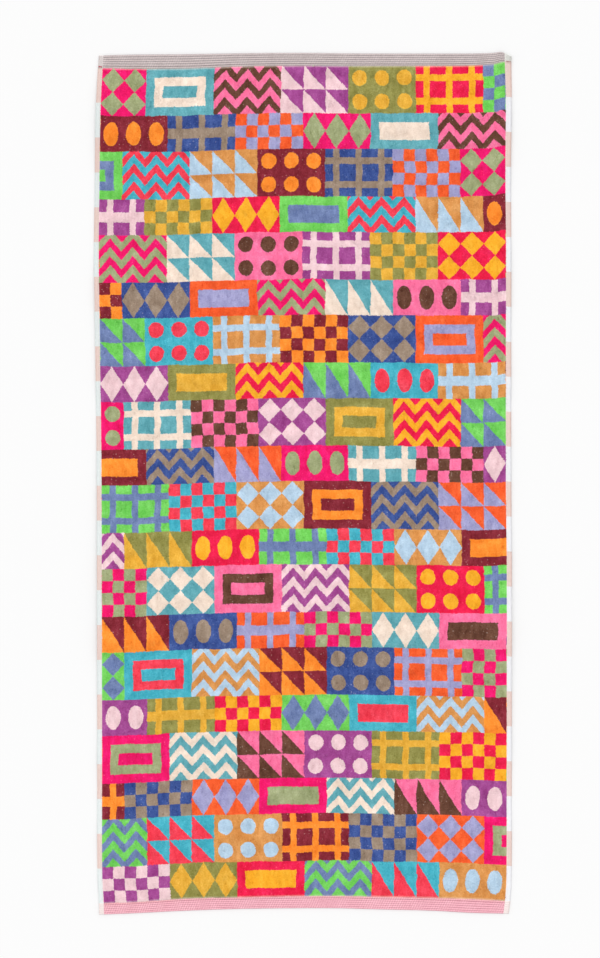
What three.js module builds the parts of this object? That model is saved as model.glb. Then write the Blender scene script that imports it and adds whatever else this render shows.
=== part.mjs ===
// A bath towel of sheared terry cloth, laid out flat with its face up.
// It is one piece of cloth: pile over the middle, a flat ribbed hem at each end and a narrow turned hem down
// each side. Sizes are in millimetres. X runs across the towel, Y along it and Z up, and the origin is at the
// middle of the towel's outline, on the surface that it lies on.

import * as THREE from "three";

// Size of the towel, at its widest and longest places
const TOWEL_WIDTH = 692;
const TOWEL_LENGTH = 1428;

// Thickness of the cloth, from its back to the top of what stands on it
const PILE_THICKNESS = 3.4;
const SIDE_HEM_THICKNESS = 2.8;
const END_HEM_THICKNESS = 2.3;
const RIM_THICKNESS = 1.4;

// Side hem, and the seam line where its stitching holds the pile down
const SIDE_HEM_WIDTH = 8;
const RIM_ROUNDING = 1.5;
const SEAM_THICKNESS = 2.0;
const PILE_START = 2.5;

// Ribs woven across each end hem. Their relief is measured from the groove beside a rib to its crest.
const RIBS_IN_END_HEM = 6;
const RIB_RELIEF = 0.6;

// Steps of the surface over the pile
const PILE_STEP_ACROSS = 56;
const PILE_STEP_ALONG = 23;

// How far the left and right edges draw in from the full width, by the distance along the towel
const LEFT_EDGE = [
  { along: -714, drawnIn: 9 },
  { along: -684, drawnIn: 8 },
  { along: -650, drawnIn: 6 },
  { along: -400, drawnIn: 5.8 },
  { along: -28, drawnIn: 5.2 },
  { along: 72, drawnIn: 4.4 },
  { along: 171, drawnIn: 3.1 },
  { along: 300, drawnIn: 1.4 },
  { along: 386, drawnIn: 0.2 },
  { along: 502, drawnIn: 1.6 },
  { along: 602, drawnIn: 3 },
  { along: 668, drawnIn: 5.7 },
  { along: 714, drawnIn: 8.6 },
];
const RIGHT_EDGE = [
  { along: -714, drawnIn: 5 },
  { along: -684, drawnIn: 1.5 },
  { along: -640, drawnIn: 0 },
  { along: -120, drawnIn: 0 },
  { along: -20, drawnIn: 0.6 },
  { along: 60, drawnIn: 1 },
  { along: 400, drawnIn: 0.8 },
  { along: 530, drawnIn: 1.3 },
  { along: 600, drawnIn: 0.2 },
  { along: 650, drawnIn: 0 },
  { along: 690, drawnIn: 0.6 },
  { along: 714, drawnIn: 0.2 },
];

// How far the two end edges draw in from the full length, and how deep the hem is there, by the distance across
const BOTTOM_END = [
  { across: -340, drawnIn: 0, hemDepth: 18.5 },
  { across: -290, drawnIn: 1.8, hemDepth: 18.5 },
  { across: -200, drawnIn: 6.2, hemDepth: 20 },
  { across: -100, drawnIn: 9.3, hemDepth: 19 },
  { across: 45, drawnIn: 10.4, hemDepth: 20.3 },
  { across: 130, drawnIn: 8.3, hemDepth: 20.7 },
  { across: 215, drawnIn: 6.3, hemDepth: 21 },
  { across: 280, drawnIn: 2.8, hemDepth: 22.5 },
  { across: 345, drawnIn: 1.2, hemDepth: 21 },
];
const TOP_END = [
  { across: -340, drawnIn: 5.6, hemDepth: 21 },
  { across: -290, drawnIn: 4.3, hemDepth: 23.5 },
  { across: -200, drawnIn: 3.5, hemDepth: 24 },
  { across: -100, drawnIn: 2, hemDepth: 22 },
  { across: -10, drawnIn: 1.4, hemDepth: 21.3 },
  { across: 90, drawnIn: 2.3, hemDepth: 21 },
  { across: 270, drawnIn: 2.4, hemDepth: 20.2 },
  { across: 320, drawnIn: 1.5, hemDepth: 18.5 },
  { across: 334, drawnIn: 0, hemDepth: 16.3 },
  { across: 345, drawnIn: 7, hemDepth: 10 },
];

// Low ridges where the cloth stands clear of the surface. Each crosses the towel from left to right, with its
// slopes reaching towards the top and the bottom end, and stands as high as its three lifts say.
const RIDGES = [
  { left: 604, right: 578, toTop: 100, toBottom: 120, liftLeft: 2.4, liftMiddle: 2.8, liftRight: 2 },
  { left: 318, right: 352, toTop: 80, toBottom: 150, liftLeft: 2, liftMiddle: 1.3, liftRight: 1.5 },
  { left: 172, right: 164, toTop: 90, toBottom: 40, liftLeft: 1.1, liftMiddle: 1, liftRight: 1.4 },
  { left: 10, right: 42, toTop: 110, toBottom: 100, liftLeft: 0.8, liftMiddle: 2, liftRight: 1.2 },
  { left: -165, right: -225, toTop: 270, toBottom: 290, liftLeft: 3, liftMiddle: 6.8, liftRight: 2.8 },
  { left: -268, right: -256, toTop: 60, toBottom: 40, liftLeft: 1, liftMiddle: 0.3, liftRight: 0.8 },
  { left: -462, right: -448, toTop: 84, toBottom: 48, liftLeft: 1.1, liftMiddle: 0.2, liftRight: 1 },
  { left: -588, right: -578, toTop: 46, toBottom: 50, liftLeft: 0.8, liftMiddle: 0.7, liftRight: 0.7 },
];

// Corners that curl up a little, each within its reach of the corner point
const CORNER_CURLS = [
  { across: 346, along: 714, reach: 45, lift: 2.5 },
  { across: -346, along: -714, reach: 30, lift: 1.5 },
];

// Smooth curve through one column of a table, which holds still beyond the table's ends
function curveThrough(table, place, column) {
  const places = table.map((row) => row[place]);
  const values = table.map((row) => row[column]);
  const curve = new THREE.CubicInterpolant(places, values, 1);
  const first = places[0];
  const last = places[places.length - 1];
  return (at) => Math.max(curve.evaluate(THREE.MathUtils.clamp(at, first, last))[0], 0);
}

const leftDrawnIn = curveThrough(LEFT_EDGE, "along", "drawnIn");
const rightDrawnIn = curveThrough(RIGHT_EDGE, "along", "drawnIn");
const bottomDrawnIn = curveThrough(BOTTOM_END, "across", "drawnIn");
const bottomHemDepth = curveThrough(BOTTOM_END, "across", "hemDepth");
const topDrawnIn = curveThrough(TOP_END, "across", "drawnIn");
const topHemDepth = curveThrough(TOP_END, "across", "hemDepth");

// Lift of the cloth off the surface at one place
function ridgeLift(ridge, x, y) {
  const across = x / TOWEL_WIDTH + 0.5;
  const crest = THREE.MathUtils.lerp(ridge.left, ridge.right, across);
  const reach = y > crest ? ridge.toTop : ridge.toBottom;
  const away = Math.min(Math.abs(y - crest) / reach, 1);
  const outer = across < 0.5 ? ridge.liftLeft : ridge.liftRight;
  const lift = THREE.MathUtils.lerp(ridge.liftMiddle, outer, Math.abs(across - 0.5) * 2);
  return (lift * (1 + Math.cos(Math.PI * away))) / 2;
}

function curlLift(curl, x, y) {
  const away = Math.hypot(x - curl.across, y - curl.along) / curl.reach;
  return curl.lift * Math.max(1 - away, 0) ** 2;
}

function clothLift(x, y) {
  const ridges = RIDGES.reduce((sum, ridge) => sum + ridgeLift(ridge, x, y), 0);
  return CORNER_CURLS.reduce((sum, curl) => sum + curlLift(curl, x, y), ridges);
}

// Places across the towel from its left edge to its right edge. Those of a side hem are a distance from the
// edge, and those of the pile are a share of the width between the hems.
function placesAcross() {
  const sideHem = [
    { zone: "left", fromEdge: 0, thickness: RIM_THICKNESS },
    { zone: "left", fromEdge: RIM_ROUNDING, thickness: SIDE_HEM_THICKNESS },
    { zone: "left", fromEdge: SIDE_HEM_WIDTH - RIM_ROUNDING, thickness: SIDE_HEM_THICKNESS },
    { zone: "left", fromEdge: SIDE_HEM_WIDTH, thickness: SEAM_THICKNESS },
  ];
  const otherSideHem = sideHem.map((place) => ({ ...place, zone: "right" })).reverse();
  const steps = Math.round((TOWEL_WIDTH - 2 * SIDE_HEM_WIDTH) / PILE_STEP_ACROSS);
  const pile = [];
  for (let step = 0; step <= steps; step += 1) {
    pile.push({ zone: "pile", share: step / steps, thickness: PILE_THICKNESS });
  }
  return [...sideHem, ...pile, ...otherSideHem];
}

// Places along the towel from its bottom end to its top end, each a share of the way through its zone
function placesAlong() {
  const endHem = [{ zone: "bottom", share: 0, thickness: RIM_THICKNESS }];
  for (let rib = 0; rib < RIBS_IN_END_HEM; rib += 1) {
    const crest = (rib + 0.5) / RIBS_IN_END_HEM;
    const groove = (rib + 1) / RIBS_IN_END_HEM;
    endHem.push({ zone: "bottom", share: crest, thickness: END_HEM_THICKNESS + RIB_RELIEF / 2 });
    endHem.push({ zone: "bottom", share: groove, thickness: END_HEM_THICKNESS - RIB_RELIEF / 2 });
  }
  const otherEndHem = endHem.map((place) => ({ ...place, zone: "top" })).reverse();
  const steps = Math.round(TOWEL_LENGTH / PILE_STEP_ALONG);
  const pile = [];
  for (let step = 0; step <= steps; step += 1) {
    pile.push({ zone: "pile", share: step / steps, thickness: PILE_THICKNESS });
  }
  return [...endHem, ...pile, ...otherEndHem];
}

// Distance along the towel of one place, which the uneven ends shift a little from side to side
function alongAt(place, x) {
  const bottomEdge = -TOWEL_LENGTH / 2 + bottomDrawnIn(x);
  const topEdge = TOWEL_LENGTH / 2 - topDrawnIn(x);
  if (place.zone === "bottom") {
    return bottomEdge + place.share * bottomHemDepth(x);
  }
  if (place.zone === "top") {
    return topEdge - place.share * topHemDepth(x);
  }
  const pileBottom = bottomEdge + bottomHemDepth(x) + PILE_START;
  const pileTop = topEdge - topHemDepth(x) - PILE_START;
  return THREE.MathUtils.lerp(pileBottom, pileTop, place.share);
}

// Distance across the towel of one place, between its uneven sides
function acrossAt(place, y) {
  const leftEdge = -TOWEL_WIDTH / 2 + leftDrawnIn(y);
  const rightEdge = TOWEL_WIDTH / 2 - rightDrawnIn(y);
  if (place.zone === "left") {
    return leftEdge + place.fromEdge;
  }
  if (place.zone === "right") {
    return rightEdge - place.fromEdge;
  }
  const pileLeft = leftEdge + SIDE_HEM_WIDTH + PILE_START;
  const pileRight = rightEdge - SIDE_HEM_WIDTH - PILE_START;
  return THREE.MathUtils.lerp(pileLeft, pileRight, place.share);
}

// The towel starts as a flat box with one face square for each pair of places, and every point of it is then
// moved to where the cloth lies. Its back follows the ridges, and rests level between them.
function towelGeometry() {
  const across = placesAcross();
  const along = placesAlong();
  const geometry = new THREE.BoxGeometry(1, 1, 1, across.length - 1, along.length - 1, 1);
  const points = geometry.getAttribute("position");
  for (let point = 0; point < points.count; point += 1) {
    const column = across[Math.round((points.getX(point) + 0.5) * (across.length - 1))];
    const row = along[Math.round((points.getY(point) + 0.5) * (along.length - 1))];
    const straightX = acrossAt(column, 0);
    const y = alongAt(row, straightX);
    const x = acrossAt(column, y);
    const back = clothLift(x, y);
    const thickness = points.getZ(point) > 0 ? Math.min(column.thickness, row.thickness) : 0;
    points.setXYZ(point, x, y, back + thickness);
  }
  geometry.computeBoundingBox();
  const middle = geometry.boundingBox.getCenter(new THREE.Vector3());
  geometry.translate(-middle.x, -middle.y, 0);
  geometry.computeVertexNormals();
  return geometry;
}

const terryCloth = new THREE.MeshStandardMaterial({ color: 0xc08a86, roughness: 0.95, metalness: 0 });

const towel = new THREE.Mesh(towelGeometry(), terryCloth);
towel.name = "towel";

const bathTowel = new THREE.Group();
bathTowel.add(towel);

export default bathTowel;
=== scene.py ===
"""A sheared terry bath towel, laid out flat with its face up, on a pale floor under soft light.

Everything is in metres, in the part's own frame: X across the towel, Y along it, Z up. Patterns and small
pieces are placed in cloth coordinates, u across and v along the cloth before it is laid out. The pile runs
from 0 to PILE_WIDTH and from 0 to PILE_LENGTH in them, and the hems lie outside it.
"""

import math

import bmesh
import bpy
import numpy as np
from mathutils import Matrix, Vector


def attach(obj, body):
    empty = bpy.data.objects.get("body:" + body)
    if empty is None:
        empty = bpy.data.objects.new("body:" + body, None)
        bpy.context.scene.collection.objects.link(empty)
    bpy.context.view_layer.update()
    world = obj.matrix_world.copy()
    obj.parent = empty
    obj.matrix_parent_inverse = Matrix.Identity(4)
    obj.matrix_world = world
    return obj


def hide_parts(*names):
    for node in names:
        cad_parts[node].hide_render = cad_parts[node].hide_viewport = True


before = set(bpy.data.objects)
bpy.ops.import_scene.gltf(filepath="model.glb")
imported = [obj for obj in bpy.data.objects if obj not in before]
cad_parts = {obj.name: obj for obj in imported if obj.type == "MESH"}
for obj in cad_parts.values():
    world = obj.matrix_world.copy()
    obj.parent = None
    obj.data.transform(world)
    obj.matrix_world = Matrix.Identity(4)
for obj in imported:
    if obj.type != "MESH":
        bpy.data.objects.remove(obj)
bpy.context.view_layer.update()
SEED = 7

# The towel's own sizes
TOWEL_WIDTH = 0.692
TOWEL_LENGTH = 1.428
SIDE_HEM = 0.008
END_HEM = 0.020
PILE_WIDTH = TOWEL_WIDTH - 2 * SIDE_HEM
PILE_LENGTH = TOWEL_LENGTH - 2 * END_HEM

# Heights above the back of the cloth
GROUND_HEIGHT = 0.0023
SIDE_HEM_HEIGHT = 0.0027
END_HEM_HEIGHT = 0.0022
SEAM_HEIGHT = 0.0019
RIM_HEIGHT = 0.0013
RIB_RELIEF = 0.0005
RIBS = 6

# Side hem from its rim to the pile: place, and height of the cloth there
SIDE_HEM_PROFILE = (
    (0, RIM_HEIGHT),
    (0.0007, 0.0022),
    (0.0018, SIDE_HEM_HEIGHT),
    (0.0040, SIDE_HEM_HEIGHT),
    (0.0062, SIDE_HEM_HEIGHT),
    (0.0073, SEAM_HEIGHT),
    (SIDE_HEM, SEAM_HEIGHT),
)

# Unevenness of the woven ground: its height, and its shortest and longest waves
GROUND_RUMPLE = 0.00016
RUMPLE_WAVES = (0.035, 0.13)
WAVE_COUNT = 22

# Lines of the sheet's mesh across and along the pile, and cells to each rib of the end hems
PILE_COLUMNS = 124
PILE_ROWS = 254
CELLS_PER_RIB = 4

# Span over which the slope of the cloth is taken, and how far down a face of its back looks
SLOPE_STEP = 0.002
DOWNWARD = -0.5

# Outline of the towel as it lies: how far each edge draws in from the full size, and how wide its hem is
LEFT_EDGE = {
    "along": (-0.714, -0.684, -0.65, -0.4, -0.028, 0.072, 0.171, 0.3, 0.386, 0.502, 0.602, 0.668, 0.714),
    "drawn_in": (
        0.009, 0.008, 0.006, 0.0058, 0.0052, 0.0044, 0.0031,
        0.0014, 0.0002, 0.0016, 0.003, 0.0057, 0.0086,
    ),
}
RIGHT_EDGE = {
    "along": (-0.714, -0.684, -0.64, -0.12, -0.02, 0.06, 0.4, 0.53, 0.6, 0.65, 0.69, 0.714),
    "drawn_in": (0.005, 0.0015, 0.0, 0.0, 0.0006, 0.001, 0.0008, 0.0013, 0.0002, 0.0, 0.0006, 0.0002),
    "hem_depth": (
        0.009, 0.009, 0.0086, 0.0086, 0.0092, 0.009, 0.0089, 0.0094, 0.0098, 0.0103, 0.0108, 0.0118,
    ),
}
BOTTOM_END = {
    "across": (-0.34, -0.29, -0.2, -0.1, 0.045, 0.13, 0.215, 0.28, 0.345),
    "drawn_in": (0.0, 0.0018, 0.0062, 0.0093, 0.0104, 0.0083, 0.0063, 0.0028, 0.0012),
    "hem_depth": (0.0185, 0.0185, 0.02, 0.019, 0.0203, 0.0207, 0.021, 0.0225, 0.021),
}
TOP_END = {
    "across": (-0.34, -0.29, -0.2, -0.1, -0.01, 0.09, 0.27, 0.32, 0.334, 0.345),
    "drawn_in": (0.0056, 0.0043, 0.0035, 0.002, 0.0014, 0.0023, 0.0024, 0.0015, 0.0, 0.007),
    "hem_depth": (0.021, 0.0235, 0.024, 0.022, 0.0213, 0.021, 0.0202, 0.0185, 0.0163, 0.01),
}

# Low ridges across the cloth: crest at the left and right edge, reach of the slopes to either end, and lift
# at the left, middle and right
RIDGES = (
    (0.604, 0.578, 0.1, 0.12, 0.0024, 0.0028, 0.002),
    (0.318, 0.352, 0.08, 0.15, 0.002, 0.0013, 0.0015),
    (0.172, 0.164, 0.09, 0.04, 0.0011, 0.001, 0.0014),
    (0.01, 0.042, 0.11, 0.1, 0.0008, 0.002, 0.0012),
    (-0.165, -0.225, 0.27, 0.29, 0.003, 0.0068, 0.0028),
    (-0.268, -0.256, 0.06, 0.04, 0.001, 0.0003, 0.0008),
    (-0.462, -0.448, 0.084, 0.048, 0.0011, 0.0002, 0.001),
    (-0.588, -0.578, 0.046, 0.05, 0.0008, 0.0007, 0.0007),
)

# Corners that curl up: place of the corner, reach and lift
CORNER_CURLS = (
    (0.346, 0.714, 0.045, 0.0025),
    (-0.346, -0.714, 0.030, 0.0015),
)

# The patchwork: a short and a tall row of patches in turn. Each motif fills its patch with whole cells.
PATCHES_ACROSS = 6
CELLS_ACROSS_PATCH = 6
ROW_PAIRS = 10
SHORT_ROW_CELLS = 3
TALL_ROW_CELLS = 4
ROWS_TO_LINE_UP = 3

# Its motifs: stripes of a frame or chevron to a cell, rise of a chevron in cells, and reach of a dot and of a
# crossed bar from the middle, as shares of a pair of cells
STRIPES_PER_CELL = 4 / 3
CHEVRON_RISE = 2.2
DOT_REACH_SQUARED = 0.11
CROSS_BAR_REACH = 0.14
MATCH_WITHIN = 0.1

# How far the choice of motif and of yarns moves on from one patch to the next
MOTIF_STEP_UP = 3
YARN_STEP_ACROSS = 5
YARN_STEP_UP = 3
YARN_PAIRS = (
    ((168, 78, 150), (240, 208, 212)),
    ((221, 154, 85), (187, 211, 230)),
    ((104, 174, 184), (243, 224, 208)),
    ((122, 212, 98), (118, 136, 180)),
    ((246, 100, 48), (167, 165, 206)),
    ((152, 148, 80), (232, 178, 64)),
    ((139, 42, 55), (254, 150, 52)),
    ((250, 120, 165), (108, 70, 54)),
    ((76, 182, 200), (244, 68, 88)),
    ((241, 22, 112), (165, 172, 128)),
    ((237, 30, 78), (249, 180, 45)),
    ((64, 88, 154), (160, 140, 122)),
)

# Pile
TUFT_SPACING = 0.00196
TUFT_RADIUS = 0.00150
TUFT_HEIGHT = 0.0011
TUFT_ROOT = 0.0002
TUFT_SIDES = 3
PILE_EDGE = 0.0025
EDGE_TUFT_SHARE = 0.35
PILE_STRIPS = 4

# How tufts differ: stray from their places in spacings, and range of their radius and height
TUFT_STRAY = 0.22
TUFT_RADII = (0.85, 1.15)
TUFT_HEIGHTS = (0.85, 1.1)

# Lean of the tufts in spacings: with the waves of the nap, and of each for itself
NAP_WAVES = (0.012, 0.060)
NAP_LEAN = 0.30
TUFT_LEAN = 0.2

# Reach of a tuft in its cell of the bake map, and of the merge that closes its tip
BAKE_REACH = 0.42
MERGE_DISTANCE = 0.001

# Stitching
STITCH_PITCH = 0.0032
STITCH_LENGTH = 0.0024
THREAD_WIDTH = 0.0006
THREAD_FLATNESS = 0.45
SEAM_INSET = 0.0014
SEAM_STOP = 0.001
TACK_LENGTH = 0.0056
TACK_WIDTH = 0.0020
TACK_STROKES = 12
TACK_LIFT = 0.0004

# Bar tacks: place of the middle, across from the left edge of the pile and up from its top end, and slant
TACKS = (
    (-0.0042, 0.0020, -0.12),
    (PILE_WIDTH + 0.0042, 0.0015, 0.12),
)

# Waver of the patches' edges: size of the waves, and how far they carry an edge
COLUMN_SWAY = (0.030, 0.0052)
COLUMN_WAVER = (0.009, 0.0026)
ROW_SWAY = (0.040, 0.0040)
ROW_WAVER = (0.010, 0.0014)
WAVER_STRETCH = 0.25

# Shades of the pile: size of the features, strength as a share of the yarn's brightness, and detail
PILE_STREAKS = (0.0075, 0.18)
PILE_MOTTLE = (0.032, 0.20, 2.0)
PILE_GRAIN = (0.0024, 0.16, 2.0)
STREAK_STRETCH = 0.4
TUFT_SHADE = 0.025

# Painted shade in the dents where tufts part
DENT_SIZE = 0.005
DENT_STRETCH = 0.5
DENT_THRESHOLD = 0.19
DENT_PAINTED_SHADE = -0.07

# Pale yarn in the first rows of the pile: how far it reaches, and how much of it shows at the very end
PALE_YARN = (238, 222, 208)
PALE_ROWS = 0.0032
PALE_ROWS_SHARE = 0.42

# Pale flecks in the dark yarns: tone past which a tuft has one, and past that the tone at which it is palest,
# how much pale yarn shows, and how soon flecks fade in brighter yarns
FLECK_THRESHOLD = 1.8
FLECK_CEILING = 0.6
FLECK_SHARE = 0.45
FLECK_FADE = 4.0

# Hem yarns
# End hems: the yarn on the crests of the ribs, a darker copy painted as shade in the grooves and also used
# for the slanted ticks, and the strength of the ticks
GREY_HEM = {"crest": (211, 196, 195), "groove_shade_and_ticks": (158, 147, 147), "ticking": 0.10}
PINK_HEM = {"crest": (250, 190, 203), "groove_shade_and_ticks": (215, 148, 160), "ticking": 0.28}
SIDE_STRETCHES = 24
BLUSH = (228, 203, 195)
MINT = (224, 230, 229)
WHITE = (233, 233, 236)
GREY_ENDS = (216, 207, 205)
CHALK_ENDS = (226, 226, 220)
PINK_ENDS = (238, 223, 220)

# Shades of the end hems: clearer and fainter stretches of the ribs' painted groove shade and of the ticks,
# slubs, and mottle
TICK_PITCH = 0.0040
TICK_SLANT = -0.4
RIB_FADE = (0.030, 1.4)
TICK_FADE = (0.022, 3.0)
END_HEM_SLUBS = (0.0022, 0.16)
END_HEM_MOTTLE = (0.022, 0.10, 2.0)
SLUB_STRETCH = 0.5

# Painted shade in a dark line along the seam of an end hem: nearest and farthest from the pile, and how dark
# it is
SEAM_LINE_START = 0.0018
SEAM_LINE_END = 0.0036
SEAM_PAINTED_SHADE = -0.06

# Shades of the side hems: slubs, painted shade along the turned rim, and the whole length from end to end
SIDE_HEM_SLUBS = (0.0022, 0.10)
RIM_WIDTH = 0.0020
RIM_PAINTED_SHADE = -0.05
SIDE_HEM_FADE = 0.05

# Thread
WHITE_THREAD = (240, 230, 228)
PEACH_THREAD = (238, 190, 170)
GREY_THREAD = (206, 200, 196)
RED_THREAD = (176, 60, 76)
THREAD_TWIST = (0.0006, 0.25)

# Relief: size of its features, and depth
PILE_RELIEF = (0.0009, 0.0002)
LOOP_RELIEF = (0.0018, 0.0006)
WOVEN_RELIEF = (0.0014, 0.0002)
THREAD_RELIEF = (0.0003, 0.0001)

# Gloss
PILE_GLOSS = {"roughness": 0.95, "sheen": 0.15}
HEM_GLOSS = {"roughness": 0.9, "sheen": 0.05}
THREAD_GLOSS = {"roughness": 0.7, "sheen": 0.05}
COTTON_SPECULAR = 0.15
SHEEN_ROUGHNESS = 0.5
HUE_DEEPENING = 2.0

# Stage
FLOOR_REACH = 40
FLOOR_DROP = 0.0003
FLOOR_WHITE = (0.96, 0.96, 0.96, 1)
FLOOR_GLOW = 0.065
ROUND_LIGHT = 0.95
KEY_LIGHT = 2.5
KEY_SPREAD = 25
KEY_DIRECTION = (0.2, -0.9, -0.35)
CAMERA_LENS = 85
CAMERA_SENSOR = 36
CAMERA_REACH = 100
CAMERA_PLACE = (-0.0046, 0.007)
FRAME_HEIGHT = 1.587


def linear(rgb):
    """A yarn colour given as 0 to 255 numbers, as the renderer's linear colour."""
    share = [c / 255 for c in rgb]
    return [c / 12.92 if c <= 0.04045 else ((c + 0.055) / 1.055) ** 2.4 for c in share] + [1.0]


def smooth_curve(places, values, at):
    """A smooth curve through a short table, level beyond its ends."""
    places, values = np.asarray(places), np.asarray(values)
    slopes = np.empty_like(values)
    slopes[1:-1] = (values[2:] - values[:-2]) / (places[2:] - places[:-2])
    slopes[0] = (values[1] - values[0]) / (places[1] - places[0])
    slopes[-1] = (values[-1] - values[-2]) / (places[-1] - places[-2])
    at = np.clip(at, places[0], places[-1])
    cell = np.clip(np.searchsorted(places, at) - 1, 0, len(places) - 2)
    width = places[cell + 1] - places[cell]
    t = (at - places[cell]) / width
    start = (1 + 2 * t) * (1 - t) ** 2 * values[cell] + t * (1 - t) ** 2 * width * slopes[cell]
    end = t * t * (3 - 2 * t) * values[cell + 1] + t * t * (t - 1) * width * slopes[cell + 1]
    return np.maximum(start + end, 0)


def soft_waves(x, y, seed, shortest, longest):
    """Soft unevenness, mostly between -1 and 1, made of a few waves in random directions."""
    rng = np.random.default_rng(seed)
    total = np.zeros_like(x)
    for _ in range(WAVE_COUNT):
        turn, phase = rng.uniform(0, 2 * math.pi, 2)
        length = rng.uniform(shortest, longest)
        total += np.sin((x * math.cos(turn) + y * math.sin(turn)) * 2 * math.pi / length + phase)
    return total / math.sqrt(WAVE_COUNT)


# How the cloth lies

def cloth_lift(x, y):
    """How far the back of the cloth stands off the floor."""
    across = x / TOWEL_WIDTH + 0.5
    lift = np.zeros_like(x)
    for left, right, to_top, to_bottom, lift_left, lift_middle, lift_right in RIDGES:
        crest = left + (right - left) * across
        reach = np.where(y > crest, to_top, to_bottom)
        away = np.minimum(np.abs(y - crest) / reach, 1)
        outer = np.where(across < 0.5, lift_left, lift_right)
        height = lift_middle + (outer - lift_middle) * np.abs(across - 0.5) * 2
        lift += height * (1 + np.cos(math.pi * away)) / 2
    for corner_x, corner_y, reach, height in CORNER_CURLS:
        away = np.hypot(x - corner_x, y - corner_y) / reach
        lift += height * np.maximum(1 - away, 0) ** 2
    return lift


def cloth_slope(x, y):
    """How steeply the cloth rises to the right and towards the top end."""
    rise_x = cloth_lift(x + SLOPE_STEP, y) - cloth_lift(x - SLOPE_STEP, y)
    rise_y = cloth_lift(x, y + SLOPE_STEP) - cloth_lift(x, y - SLOPE_STEP)
    return rise_x / (2 * SLOPE_STEP), rise_y / (2 * SLOPE_STEP)


def along_at(v, x):
    """Place along the towel as it lies of cloth coordinate v, where x is the place across."""
    bottom_edge = -TOWEL_LENGTH / 2 + smooth_curve(BOTTOM_END["across"], BOTTOM_END["drawn_in"], x)
    top_edge = TOWEL_LENGTH / 2 - smooth_curve(TOP_END["across"], TOP_END["drawn_in"], x)
    bottom_depth = smooth_curve(BOTTOM_END["across"], BOTTOM_END["hem_depth"], x)
    top_depth = smooth_curve(TOP_END["across"], TOP_END["hem_depth"], x)
    pile_bottom = bottom_edge + bottom_depth
    pile_top = top_edge - top_depth
    pile = pile_bottom + v / PILE_LENGTH * (pile_top - pile_bottom)
    bottom = pile_bottom + v / END_HEM * bottom_depth
    top = pile_top + (v - PILE_LENGTH) / END_HEM * top_depth
    return np.where(v < 0, bottom, np.where(v > PILE_LENGTH, top, pile))


def across_at(u, y):
    """Place across the towel as it lies of cloth coordinate u, where y is the place along."""
    left = -TOWEL_WIDTH / 2 + SIDE_HEM + smooth_curve(LEFT_EDGE["along"], LEFT_EDGE["drawn_in"], y)
    right_depth = smooth_curve(RIGHT_EDGE["along"], RIGHT_EDGE["hem_depth"], y)
    right = TOWEL_WIDTH / 2 - right_depth - smooth_curve(RIGHT_EDGE["along"], RIGHT_EDGE["drawn_in"], y)
    pile = left + u / PILE_WIDTH * (right - left)
    right_hem = right + (u - PILE_WIDTH) / SIDE_HEM * right_depth
    return np.where(u < 0, left + u, np.where(u > PILE_WIDTH, right_hem, pile))


def lay_out(u, v):
    """Cloth coordinates to places on the back of the towel as it lies."""
    y = along_at(v, u - PILE_WIDTH / 2)
    x = across_at(u, y)
    return x, y, cloth_lift(x, y)


def stations_across():
    """Cloth coordinates across the towel and the height of the cloth there, close together over the hems."""
    left = [(place - SIDE_HEM, height) for place, height in SIDE_HEM_PROFILE]
    right = [(PILE_WIDTH + SIDE_HEM - place, height) for place, height in reversed(SIDE_HEM_PROFILE)]
    middle = [(place, GROUND_HEIGHT) for place in np.linspace(0, PILE_WIDTH, PILE_COLUMNS)[1:-1]]
    return np.array(left + middle + right)


def stations_along():
    """Cloth coordinates along the towel and the height of the cloth there, over each rib of the end hems."""
    steps = CELLS_PER_RIB * RIBS
    hem = [(0, RIM_HEIGHT)]
    for step in range(1, steps + 1):
        wave = -math.cos(2 * math.pi * step * RIBS / steps)
        hem.append((END_HEM * step / steps, END_HEM_HEIGHT + wave * RIB_RELIEF / 2))
    hem[-1] = (END_HEM, SEAM_HEIGHT)
    bottom = [(place - END_HEM, height) for place, height in hem]
    top = [(PILE_LENGTH + END_HEM - place, height) for place, height in reversed(hem)]
    middle = [(place, GROUND_HEIGHT) for place in np.linspace(0, PILE_LENGTH, PILE_ROWS)[1:-1]]
    return np.array(bottom + middle + top)


ACROSS = stations_across()
ALONG = stations_along()


def lay_on_top(u, v):
    """Cloth coordinates to places on the face of the ground cloth."""
    x, y, back = lay_out(u, v)
    height = np.minimum(np.interp(u, *ACROSS.T), np.interp(v, *ALONG.T))
    in_pile = (u > 0) & (u < PILE_WIDTH) & (v > 0) & (v < PILE_LENGTH)
    height = height + np.where(in_pile, soft_waves(x, y, SEED, *RUMPLE_WAVES) * GROUND_RUMPLE, 0)
    return x, y, back + height


# Meshes

def new_object(name, mesh):
    obj = bpy.data.objects.new(name, mesh)
    bpy.context.scene.collection.objects.link(obj)
    return obj


def add_map(mesh, name, spots):
    """UV map with one spot for each vertex."""
    vertex = np.empty(len(mesh.loops), int)
    mesh.loops.foreach_get("vertex_index", vertex)
    layer = mesh.uv_layers.new(name=name, do_init=False)
    layer.uv.foreach_set("vector", spots[vertex].astype(np.float32).ravel())


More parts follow.
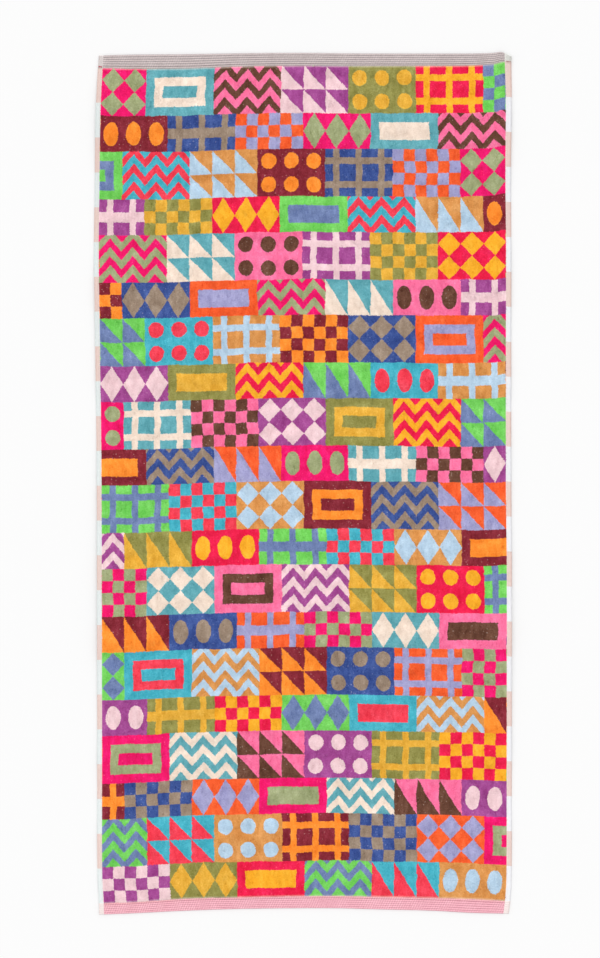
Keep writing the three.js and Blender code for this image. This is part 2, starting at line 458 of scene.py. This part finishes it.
def make_ground_cloth():
    """The woven sheet: a grid of cells pulled up into a closed slab, then laid out on the floor. Its faces
    are sorted by place, so that the mesh comes out the same each time."""
    columns, rows = len(ACROSS) - 1, len(ALONG) - 1

    def by_place(face):
        middle = face.calc_center_median()
        across = round((middle.x + 0.5) * 2 * columns)
        along = round((middle.y + 0.5) * 2 * rows)
        up = round(middle.z * 2)
        return (up * (2 * rows + 1) + along) * (2 * columns + 1) + across

    bm = bmesh.new()
    bmesh.ops.create_grid(bm, x_segments=columns, y_segments=rows, size=0.5)
    raised = bmesh.ops.extrude_face_region(bm, geom=bm.faces[:], use_keep_orig=True)
    top = [item for item in raised["geom"] if isinstance(item, bmesh.types.BMVert)]
    bmesh.ops.translate(bm, verts=top, vec=(0, 0, 1))
    bmesh.ops.recalc_face_normals(bm, faces=bm.faces)
    bm.faces.sort(key=by_place)
    mesh = bpy.data.meshes.new("ground_cloth")
    bm.to_mesh(mesh)
    bm.free()

    flat = np.empty(len(mesh.vertices) * 3)
    mesh.vertices.foreach_get("co", flat)
    flat = flat.reshape(-1, 3)
    u = ACROSS[np.rint((flat[:, 0] + 0.5) * columns).astype(int), 0]
    v = ALONG[np.rint((flat[:, 1] + 0.5) * rows).astype(int), 0]
    face = np.stack(lay_on_top(u, v), 1)
    back = np.stack(lay_out(u, v), 1)
    laid = np.where(flat[:, 2:] > 0.5, face, back)
    mesh.vertices.foreach_set("co", laid.astype(np.float32).ravel())
    add_map(mesh, "cloth", np.stack([u, v], 1))
    mesh.update()
    return new_object("ground_cloth", mesh)


def shape_of(bm):
    """Points and triangles of a small shape, of which many copies are joined."""
    bmesh.ops.triangulate(bm, faces=bm.faces)
    bm.verts.index_update()
    points = np.array([vert.co[:] for vert in bm.verts])
    faces = np.array([[vert.index for vert in face.verts] for face in bm.faces])
    bm.free()
    return points, faces


def tuft_shape():
    """One tuft of sheared pile: an open three-sided cone, one unit high and of one unit radius."""
    bm = bmesh.new()
    bmesh.ops.create_cone(bm, cap_ends=False, segments=TUFT_SIDES, radius1=1, radius2=0, depth=1)
    bmesh.ops.remove_doubles(bm, verts=bm.verts, dist=MERGE_DISTANCE)
    bmesh.ops.translate(bm, verts=bm.verts, vec=(0, 0, 0.5))
    return shape_of(bm)


def stitch_shape():
    """One stitch of sewing thread: a rounded bead of one unit radius, stretched when it is placed."""
    bm = bmesh.new()
    bmesh.ops.create_icosphere(bm, subdivisions=1, radius=1)
    return shape_of(bm)


def join_copies(name, shape, origin, side, forward, up):
    """One mesh of many copies of a shape, each with its own origin and its own three directions."""
    points, faces = shape
    place = origin[:, None] + points[:, :1] * side[:, None] + points[:, 1:2] * forward[:, None]
    place = place + points[:, 2:] * up[:, None]
    joined = faces + np.arange(len(origin))[:, None, None] * len(points)
    mesh = bpy.data.meshes.new(name)
    mesh.from_pydata(place.reshape(-1, 3), [], joined.reshape(-1, 3))
    mesh.shade_smooth()
    return new_object(name, mesh)


def make_pile_strip(index, rng):
    """Tufts in woven rows over one stretch of the pile, each a little out of line. Each tuft has a tone and a
    cell in the bake map of its own."""
    shape = tuft_shape()
    points = shape[0]
    columns = round(PILE_WIDTH / TUFT_SPACING)
    rows = round(PILE_LENGTH / TUFT_SPACING / PILE_STRIPS)
    column, row = [cells.ravel() for cells in np.meshgrid(np.arange(columns), np.arange(rows))]
    count = column.size
    stray_u, stray_v = rng.normal(0, TUFT_STRAY, (2, count))
    u = (column + 0.5 + stray_u) / columns * PILE_WIDTH
    v = (index + (row + 0.5 + stray_v) / rows) * PILE_LENGTH / PILE_STRIPS
    u, v = np.clip(u, 0, PILE_WIDTH), np.clip(v, 0, PILE_LENGTH)
    x, y, z = lay_on_top(u, v)

    turn = rng.uniform(0, 2 * math.pi, count)
    radius = TUFT_RADIUS * rng.uniform(*TUFT_RADII, count)
    to_edge = np.minimum(np.minimum(u, PILE_WIDTH - u), np.minimum(v, PILE_LENGTH - v))
    trimmed = np.clip(EDGE_TUFT_SHARE + (1 - EDGE_TUFT_SHARE) * to_edge / PILE_EDGE, 0, 1)
    height = TUFT_ROOT + TUFT_HEIGHT * trimmed * rng.uniform(*TUFT_HEIGHTS, count)
    nap_x = soft_waves(x, y, SEED + 1, *NAP_WAVES) * NAP_LEAN + rng.normal(0, TUFT_LEAN, count)
    nap_y = soft_waves(x, y, SEED + 2, *NAP_WAVES) * NAP_LEAN + rng.normal(0, TUFT_LEAN, count)
    rise_x, rise_y = cloth_slope(x, y)
    side_x, side_y = radius * np.cos(turn), radius * np.sin(turn)
    lean_x = nap_x * TUFT_SPACING - rise_x * height
    lean_y = nap_y * TUFT_SPACING - rise_y * height
    strip = join_copies(
        f"pile_strip_{index + 1}", shape,
        origin=np.stack([x, y, z - TUFT_ROOT], 1),
        side=np.stack([side_x, side_y, side_x * rise_x + side_y * rise_y], 1),
        forward=np.stack([-side_y, side_x, side_x * rise_y - side_y * rise_x], 1),
        up=np.stack([lean_x, lean_y, height], 1),
    )
    mesh = strip.data
    add_map(mesh, "cloth", np.repeat(np.stack([u, v], 1), len(points), 0))
    cell = np.stack([column, row], 1)[:, None] + 0.5 + BAKE_REACH * points[None, :, :2]
    add_map(mesh, "OFBake", cell.reshape(-1, 2) / (columns, rows))
    tone = mesh.attributes.new("tone", "FLOAT", "POINT")
    tones = np.repeat(rng.normal(0, 1, count), len(points))
    tone.data.foreach_set("value", tones.astype(np.float32))
    return strip


def stitch_run(start, end):
    """Cloth coordinates of the two ends of each stitch along a straight seam."""
    start, end = np.array(start), np.array(end)
    length = np.linalg.norm(end - start)
    count = round(length / STITCH_PITCH)
    middle = start + (end - start) * ((np.arange(count) + 0.5) / count)[:, None]
    reach = (end - start) / length * STITCH_LENGTH / 2
    return np.stack([middle - reach, middle + reach], 1)


def make_stitches(name, ends, lift=0.0):
    """Stitches between the ends given for each, lying on the cloth or a little above it."""
    first = np.stack(lay_on_top(ends[:, 0, 0], ends[:, 0, 1]), 1) + (0, 0, lift)
    last = np.stack(lay_on_top(ends[:, 1, 0], ends[:, 1, 1]), 1) + (0, 0, lift)
    forward = (last - first) / 2
    up = np.tile([0, 0, THREAD_WIDTH * THREAD_FLATNESS], (len(ends), 1))
    side = np.cross(forward, up)
    side = side / np.linalg.norm(side, axis=1)[:, None] * THREAD_WIDTH / 2
    return join_copies(name, stitch_shape(), (first + last) / 2, side, forward, up)


def make_seam_stitches():
    """Lock stitches down both side hems and along the edge of each end hem."""
    left, right = -SEAM_INSET, PILE_WIDTH + SEAM_INSET
    bottom, top = -SEAM_INSET, PILE_LENGTH + SEAM_INSET
    hem_bottom, hem_top = -END_HEM + SEAM_STOP, PILE_LENGTH + END_HEM - SEAM_STOP
    sides = np.concatenate([
        stitch_run((left, hem_bottom), (left, hem_top)),
        stitch_run((right, hem_bottom), (right, hem_top)),
    ])
    return (
        make_stitches("side_seam_stitches", sides),
        make_stitches("bottom_seam_stitches", stitch_run((0, bottom), (PILE_WIDTH, bottom))),
        make_stitches("top_seam_stitches", stitch_run((0, top), (PILE_WIDTH, top))),
    )


def make_bar_tacks():
    """Red bar tacks that hold the side hems at the two top corners: close strokes side by side."""
    strokes = []
    lean = TACK_LENGTH / TACK_STROKES / 2
    for middle, up, slant in TACKS:
        for along_tack in np.linspace(-0.5, 0.5, TACK_STROKES) * TACK_LENGTH:
            u = middle + along_tack
            v = PILE_LENGTH + up + along_tack * slant
            strokes.append([(u - lean, v - TACK_WIDTH / 2), (u + lean, v + TACK_WIDTH / 2)])
    return make_stitches("corner_tacks", np.array(strokes), lift=TACK_LIFT)


# Materials

class Weave:
    """Short names for the nodes of one material."""

    def __init__(self, name):
        self.material = bpy.data.materials.new(name)
        self.material.use_nodes = True
        self.tree = self.material.node_tree
        self.shader = self.tree.nodes["Principled BSDF"]

    def node(self, kind, **settings):
        made = self.tree.nodes.new(kind)
        for name, value in settings.items():
            setattr(made, name, value)
        return made

    def put(self, socket, value):
        if isinstance(value, bpy.types.NodeSocket):
            self.tree.links.new(value, socket)
        else:
            socket.default_value = value

    def calculate(self, operation, *values):
        made = self.node("ShaderNodeMath", operation=operation)
        for socket, value in zip(made.inputs, values):
            self.put(socket, value)
        return made.outputs[0]

    def add(self, *values):
        total = values[0]
        for value in values[1:]:
            total = self.calculate("ADD", total, value)
        return total

    def take(self, a, b):
        return self.calculate("SUBTRACT", a, b)

    def times(self, a, b):
        return self.calculate("MULTIPLY", a, b)

    def over(self, a, b):
        return self.calculate("DIVIDE", a, b)

    def floor(self, a):
        return self.calculate("FLOOR", a)

    def part(self, a):
        return self.calculate("FRACT", a)

    def wrap(self, a, b):
        return self.calculate("FLOORED_MODULO", a, b)

    def least(self, a, b):
        return self.calculate("MINIMUM", a, b)

    def most(self, a, b):
        return self.calculate("MAXIMUM", a, b)

    def off_middle(self, a):
        return self.calculate("ABSOLUTE", self.take(a, 0.5))

    def below(self, a, b):
        return self.calculate("LESS_THAN", a, b)

    def above(self, a, b):
        return self.calculate("GREATER_THAN", a, b)

    def same(self, a, b):
        return self.calculate("COMPARE", a, b, MATCH_WITHIN)

    def mix(self, share, a, b):
        made = self.node("ShaderNodeMix", data_type="RGBA")
        self.put(made.inputs["Factor"], share)
        self.put(made.inputs[6], a)
        self.put(made.inputs[7], b)
        return made.outputs[2]

    def brightness(self, colour):
        made = self.node("ShaderNodeRGBToBW")
        self.put(made.inputs["Color"], colour)
        return made.outputs["Val"]

    def stretch(self, spot, across, along):
        made = self.node("ShaderNodeVectorMath", operation="MULTIPLY")
        self.put(made.inputs[0], spot)
        self.put(made.inputs[1], (across, along, 1.0))
        return made.outputs[0]

    def noise(self, spot, size, detail=1.0):
        """Unevenness about zero, with features of about the size given."""
        made = self.node("ShaderNodeTexNoise")
        self.put(made.inputs["Vector"], spot)
        self.put(made.inputs["Scale"], 1 / size)
        self.put(made.inputs["Detail"], detail)
        return self.take(made.outputs["Fac"], 0.5)

    def uneven(self, spot, size, strength, detail=1.0):
        return self.times(self.noise(spot, size, detail), strength)

    def colours(self, place, colours):
        """A row of flat colours, picked by place from 0 to 1."""
        made = self.node("ShaderNodeValToRGB")
        ramp = made.color_ramp
        ramp.interpolation = "CONSTANT"
        while len(ramp.elements) < len(colours):
            ramp.elements.new(1.0)
        for index in range(len(colours)):
            ramp.elements[index].position = index / len(colours)
        for index, colour in enumerate(colours):
            ramp.elements[index].color = colour
        self.put(made.inputs["Fac"], place)
        return made.outputs["Color"]

    def cloth_coordinates(self):
        spot = self.node("ShaderNodeUVMap", uv_map="cloth").outputs["UV"]
        split = self.node("ShaderNodeSeparateXYZ")
        self.put(split.inputs[0], spot)
        return spot, split.outputs["X"], split.outputs["Y"]

    def dye(self, yarn, shade):
        """Yarn made lighter or darker by a shade about zero. Where it darkens, its hue deepens too."""
        deepened = self.node("ShaderNodeGamma")
        self.put(deepened.inputs["Color"], yarn)
        self.put(deepened.inputs["Gamma"], self.take(1.0, self.times(shade, HUE_DEEPENING)))
        lit = self.node("ShaderNodeVectorMath", operation="SCALE")
        self.put(lit.inputs[0], deepened.outputs["Color"])
        self.put(lit.inputs["Scale"], self.add(shade, 1.0))
        self.put(self.shader.inputs["Base Color"], lit.outputs[0])

    def raise_threads(self, height, depth):
        bump = self.node("ShaderNodeBump")
        self.put(bump.inputs["Height"], height)
        bump.inputs["Distance"].default_value = depth
        self.put(self.shader.inputs["Normal"], bump.outputs["Normal"])

    def finish(self, roughness, sheen):
        self.shader.inputs["Roughness"].default_value = roughness
        self.shader.inputs["Specular IOR Level"].default_value = COTTON_SPECULAR
        self.shader.inputs["Sheen Weight"].default_value = sheen
        self.shader.inputs["Sheen Roughness"].default_value = SHEEN_ROUGHNESS
        return self.material


def patchwork(weave, across, along):
    """The patchwork at a place given in shares of the pile's width and length. Gives its two yarns there, and
    which of them shows on the face."""
    pair_cells = SHORT_ROW_CELLS + TALL_ROW_CELLS
    pairs_up = weave.times(along, ROW_PAIRS)
    cells_into_pair = weave.times(weave.part(pairs_up), pair_cells)
    tall = weave.above(cells_into_pair, SHORT_ROW_CELLS)
    row = weave.add(weave.times(weave.floor(pairs_up), 2), tall)
    cell_up = weave.take(cells_into_pair, weave.times(tall, SHORT_ROW_CELLS))
    cells_up = weave.add(weave.times(tall, TALL_ROW_CELLS - SHORT_ROW_CELLS), SHORT_ROW_CELLS)
    shift = weave.times(weave.wrap(row, ROWS_TO_LINE_UP), 1 / ROWS_TO_LINE_UP)
    patches_right = weave.add(weave.times(across, PATCHES_ACROSS), shift)
    column = weave.floor(patches_right)
    cell_right = weave.times(weave.part(patches_right), CELLS_ACROSS_PATCH)

    pair_right = weave.part(weave.times(cell_right, 0.5))
    pair_up = weave.part(weave.over(weave.times(cell_up, weave.add(tall, 1)), cells_up))
    off_right, off_up = weave.off_middle(pair_right), weave.off_middle(pair_up)
    checks = weave.wrap(weave.add(weave.floor(cell_right), weave.floor(cell_up)), 2)
    lozenges = weave.below(weave.add(off_right, off_up), 0.5)
    from_side = weave.least(cell_right, weave.take(CELLS_ACROSS_PATCH, cell_right))
    from_end = weave.least(cell_up, weave.take(cells_up, cell_up))
    into_patch = weave.least(from_side, from_end)
    frames = weave.wrap(weave.floor(weave.times(into_patch, STRIPES_PER_CELL)), 2)
    zigzag = weave.add(cell_up, weave.times(off_right, CHEVRON_RISE))
    chevrons = weave.wrap(weave.floor(weave.times(zigzag, STRIPES_PER_CELL)), 2)
    teeth = weave.below(weave.add(pair_right, pair_up), 1)
    off_squared = weave.add(weave.times(off_right, off_right), weave.times(off_up, off_up))
    dots = weave.below(off_squared, DOT_REACH_SQUARED)
    crosses = weave.below(weave.least(off_right, off_up), CROSS_BAR_REACH)
    motifs = (checks, lozenges, frames, chevrons, teeth, dots, crosses)

    motif = weave.wrap(weave.add(column, weave.times(row, MOTIF_STEP_UP)), len(motifs))
    shown = weave.add(*[weave.times(weave.same(motif, index), shape) for index, shape in enumerate(motifs)])
    steps = weave.add(weave.times(column, YARN_STEP_ACROSS), weave.times(row, YARN_STEP_UP))
    choice = weave.wrap(steps, len(YARN_PAIRS))
    pick = weave.over(weave.add(choice, 0.5), len(YARN_PAIRS))
    first = weave.colours(pick, [linear(pair[0]) for pair in YARN_PAIRS])
    second = weave.colours(pick, [linear(pair[1]) for pair in YARN_PAIRS])
    return first, second, shown


def pile_material(name, back=False):
    """Sheared cotton pile in the patchwork's yarns, with paler first rows at both ends and sparse pale flecks
    in its dark yarns. The back of the cloth wears the other yarn of each pair, in loops."""
    weave = Weave(name)
    spot, u, v = weave.cloth_coordinates()
    by_rows = weave.stretch(spot, WAVER_STRETCH, 1.0)
    by_columns = weave.stretch(spot, 1.0, WAVER_STRETCH)
    drift_u = weave.add(weave.uneven(by_rows, *COLUMN_SWAY), weave.uneven(by_rows, *COLUMN_WAVER))
    drift_v = weave.add(weave.uneven(by_columns, *ROW_SWAY), weave.uneven(by_columns, *ROW_WAVER))
    across = weave.times(weave.add(u, drift_u), 1 / PILE_WIDTH)
    along = weave.times(weave.add(v, drift_v), 1 / PILE_LENGTH)
    first, second, shown = patchwork(weave, across, along)
    yarn = weave.mix(shown, second, first) if back else weave.mix(shown, first, second)

    from_end = weave.least(v, weave.take(PILE_LENGTH, v))
    first_rows = weave.most(weave.take(1.0, weave.over(from_end, PALE_ROWS)), 0.0)
    tone = weave.node("ShaderNodeAttribute", attribute_name="tone").outputs["Fac"]
    palest = weave.least(weave.most(weave.take(tone, FLECK_THRESHOLD), 0.0), FLECK_CEILING)
    dark = weave.most(weave.take(1.0, weave.times(weave.brightness(yarn), FLECK_FADE)), 0.0)
    flecks = weave.times(palest, weave.times(dark, FLECK_SHARE))
    pale = weave.most(weave.times(first_rows, PALE_ROWS_SHARE), flecks)
    yarn = weave.mix(pale, yarn, linear(PALE_YARN))

    streaks = weave.uneven(weave.stretch(spot, 1.0, STREAK_STRETCH), *PILE_STREAKS)
    mottle = weave.uneven(spot, *PILE_MOTTLE)
    grain = weave.uneven(spot, *PILE_GRAIN)
    # Painted shade: the dents where tufts part are darkened in the yarn's colour
    parting = weave.noise(weave.stretch(spot, 1.0, DENT_STRETCH), DENT_SIZE)
    painted_dent_shade = weave.times(weave.above(parting, DENT_THRESHOLD), DENT_PAINTED_SHADE)
    weave.dye(yarn, weave.add(streaks, mottle, grain, painted_dent_shade, weave.times(tone, TUFT_SHADE)))
    size, depth = LOOP_RELIEF if back else PILE_RELIEF
    weave.raise_threads(weave.noise(spot, size), depth)
    return weave.finish(**PILE_GLOSS)


def raise_plain_weave(weave, u, v):
    """Threads that go over and under each other."""
    pitch, depth = WOVEN_RELIEF
    over_u = weave.calculate("SINE", weave.times(u, 2 * math.pi / pitch))
    over_v = weave.calculate("SINE", weave.times(v, 2 * math.pi / pitch))
    weave.raise_threads(weave.times(over_u, over_v), depth)


def end_hem_material(name, crest, groove_shade_and_ticks, ticking):
    """Flat-woven end hem: painted shade in the grooves between its ribs, as a darker copy of its yarn, the
    same darker colour in slanted woven ticks across them, and painted shade in a dark line where the pile
    begins."""
    weave = Weave(name)
    spot, u, v = weave.cloth_coordinates()
    into_hem = weave.least(weave.add(v, END_HEM), weave.take(PILE_LENGTH + END_HEM, v))
    wave = weave.calculate("COSINE", weave.times(into_hem, 2 * math.pi * RIBS / END_HEM))
    clear = weave.add(weave.uneven(spot, *RIB_FADE), 1.0)
    slanted = weave.add(u, weave.times(v, TICK_SLANT))
    tick = weave.calculate("SINE", weave.times(slanted, 2 * math.pi / TICK_PITCH))
    ticked = weave.add(weave.uneven(spot, *TICK_FADE), 1.0)
    # Painted shade: the grooves between the ribs take the darker colour, and so do the ticks
    ribs = weave.times(weave.times(wave, clear), 0.5)
    groove_shade_and_tick_share = weave.add(ribs, weave.times(weave.times(tick, ticked), ticking), 0.5)
    yarn = weave.mix(groove_shade_and_tick_share, linear(crest), linear(groove_shade_and_ticks))
    slubs = weave.uneven(weave.stretch(spot, SLUB_STRETCH, 1.0), *END_HEM_SLUBS)
    mottle = weave.uneven(spot, *END_HEM_MOTTLE)
    from_pile = weave.take(END_HEM, into_hem)
    # Painted shade: a dark line in the end hem just beside the pile
    painted_seam_shade_band = weave.times(weave.above(from_pile, SEAM_LINE_START), weave.below(from_pile, SEAM_LINE_END))
    weave.dye(yarn, weave.add(slubs, mottle, weave.times(painted_seam_shade_band, SEAM_PAINTED_SHADE)))
    raise_plain_weave(weave, u, v)
    return weave.finish(**HEM_GLOSS)


def side_hem_material():
    """Turned side hem: blush yarn along every other stretch, with mint between on the left and white on the
    right. Past the end hems it is pink, grey or chalk, and it is a little darker towards the top end."""
    weave = Weave("side_hem_cotton")
    spot, u, v = weave.cloth_coordinates()
    stretch = weave.wrap(weave.floor(weave.times(v, SIDE_STRETCHES / PILE_LENGTH)), 2)
    between = weave.mix(weave.below(u, PILE_WIDTH / 2), linear(WHITE), linear(MINT))
    yarn = weave.mix(stretch, between, linear(BLUSH))
    top_ends = weave.mix(weave.below(u, PILE_WIDTH / 2), linear(CHALK_ENDS), linear(GREY_ENDS))
    yarn = weave.mix(weave.above(v, PILE_LENGTH), yarn, top_ends)
    yarn = weave.mix(weave.below(v, 0.0), yarn, linear(PINK_ENDS))
    from_rim = weave.least(weave.add(u, SIDE_HEM), weave.take(PILE_WIDTH + SIDE_HEM, u))
    # Painted shade: the outer rim of each side hem is darkened in colour
    painted_rim_shade = weave.times(weave.below(from_rim, RIM_WIDTH), RIM_PAINTED_SHADE)
    slubs = weave.uneven(weave.stretch(spot, 1.0, SLUB_STRETCH), *SIDE_HEM_SLUBS)
    fade = weave.times(weave.take(0.5, weave.over(v, PILE_LENGTH)), SIDE_HEM_FADE)
    weave.dye(yarn, weave.add(slubs, painted_rim_shade, fade))
    raise_plain_weave(weave, u, v)
    return weave.finish(**HEM_GLOSS)


def thread_material(name, colour):
    """Twisted sewing thread."""
    weave = Weave(name)
    spot = weave.node("ShaderNodeTexCoord").outputs["Object"]
    size, depth = THREAD_RELIEF
    weave.dye(linear(colour), weave.uneven(spot, *THREAD_TWIST))
    weave.raise_threads(weave.noise(spot, size), depth)
    return weave.finish(**THREAD_GLOSS)


def dress_ground_cloth(obj, face, back, top_hem, bottom_hem, side_hem):
    """Gives each face of the sheet the finish of its zone."""
    mesh = obj.data
    for material in (face, back, top_hem, bottom_hem, side_hem):
        mesh.materials.append(material)
    corners = np.empty(len(mesh.loops) * 2, np.float32)
    mesh.uv_layers["cloth"].uv.foreach_get("vector", corners)
    middle = corners.reshape(-1, 4, 2).mean(1)
    normals = np.empty(len(mesh.polygons) * 3)
    mesh.polygons.foreach_get("normal", normals)
    u, v = middle.T
    zone = np.where(normals.reshape(-1, 3)[:, 2] < DOWNWARD, 1, 0)
    zone = np.where(v > PILE_LENGTH, 2, np.where(v < 0, 3, zone))
    zone = np.where((u < 0) | (u > PILE_WIDTH), 4, zone)
    mesh.polygons.foreach_set("material_index", zone.astype(np.int32))
    mesh.shade_smooth()


# Stage

def make_floor():
    bm = bmesh.new()
    bmesh.ops.create_grid(bm, x_segments=1, y_segments=1, size=FLOOR_REACH)
    bmesh.ops.translate(bm, verts=bm.verts, vec=(0, 0, -FLOOR_DROP))
    mesh = bpy.data.meshes.new("floor")
    bm.to_mesh(mesh)
    bm.free()
    obj = new_object("floor", mesh)
    paint = bpy.data.materials.new("white_floor")
    paint.use_nodes = True
    surface = paint.node_tree.nodes["Principled BSDF"]
    surface.inputs["Base Color"].default_value = FLOOR_WHITE
    surface.inputs["Emission Color"].default_value = (1, 1, 1, 1)
    surface.inputs["Emission Strength"].default_value = FLOOR_GLOW
    surface.inputs["Roughness"].default_value = 1.0
    surface.inputs["Specular IOR Level"].default_value = 0.0
    mesh.materials.append(paint)


def make_light():
    """Even light from all round, and a low light from beyond the top end that shows up the ridges. The low
    light falls on the towel alone, so that the floor stays clear of its shadow."""
    world = bpy.data.worlds.new("soft_studio")
    bpy.context.scene.world = world
    world.use_nodes = True
    background = world.node_tree.nodes["Background"]
    background.inputs["Color"].default_value = (1, 1, 1, 1)
    background.inputs["Strength"].default_value = ROUND_LIGHT
    lamp = bpy.data.lights.new("key_light", "SUN")
    lamp.energy = KEY_LIGHT
    lamp.angle = math.radians(KEY_SPREAD)
    key = bpy.data.objects.new("key_light", lamp)
    bpy.context.scene.collection.objects.link(key)
    key.rotation_euler = Vector(KEY_DIRECTION).to_track_quat("-Z", "Y").to_euler()
    return key


def light_only(lamp, pieces):
    """Keeps a lamp's light to the pieces given."""
    lit = bpy.data.collections.new("lit_by_key_light")
    for piece in pieces:
        lit.objects.link(piece)
    lamp.light_linking.receiver_collection = lit


def make_camera():
    """Straight above the towel, framed as in the photograph."""
    data = bpy.data.cameras.new("camera")
    data.lens = CAMERA_LENS
    data.sensor_width = CAMERA_SENSOR
    data.clip_end = CAMERA_REACH
    camera = bpy.data.objects.new("camera", data)
    bpy.context.scene.collection.objects.link(camera)
    camera.location = (*CAMERA_PLACE, FRAME_HEIGHT * CAMERA_LENS / CAMERA_SENSOR)
    bpy.context.scene.camera = camera


make_camera()
key_light = make_light()
make_floor()
bpy.context.scene.view_settings.view_transform = "Standard"

face_pile = pile_material("face_pile")
back_pile = pile_material("back_pile", back=True)
grey_hem = end_hem_material("grey_end_hem", **GREY_HEM)
pink_hem = end_hem_material("pink_end_hem", **PINK_HEM)
side_hem = side_hem_material()

cloth = make_ground_cloth()
dress_ground_cloth(cloth, face_pile, back_pile, grey_hem, pink_hem, side_hem)

rng = np.random.default_rng(SEED)
strips = [make_pile_strip(index, rng) for index in range(PILE_STRIPS)]
for strip in strips:
    strip.data.materials.append(face_pile)

side_seams, bottom_seam, top_seam = make_seam_stitches()
side_seams.data.materials.append(thread_material("white_thread", WHITE_THREAD))
bottom_seam.data.materials.append(thread_material("peach_thread", PEACH_THREAD))
top_seam.data.materials.append(thread_material("grey_thread", GREY_THREAD))
tacks = make_bar_tacks()
tacks.data.materials.append(thread_material("red_thread", RED_THREAD))

sewn = [*strips, side_seams, bottom_seam, top_seam, tacks]
light_only(key_light, (cloth, *sewn))
for piece in (cloth, *sewn):
    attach(piece, "root")
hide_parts("towel")
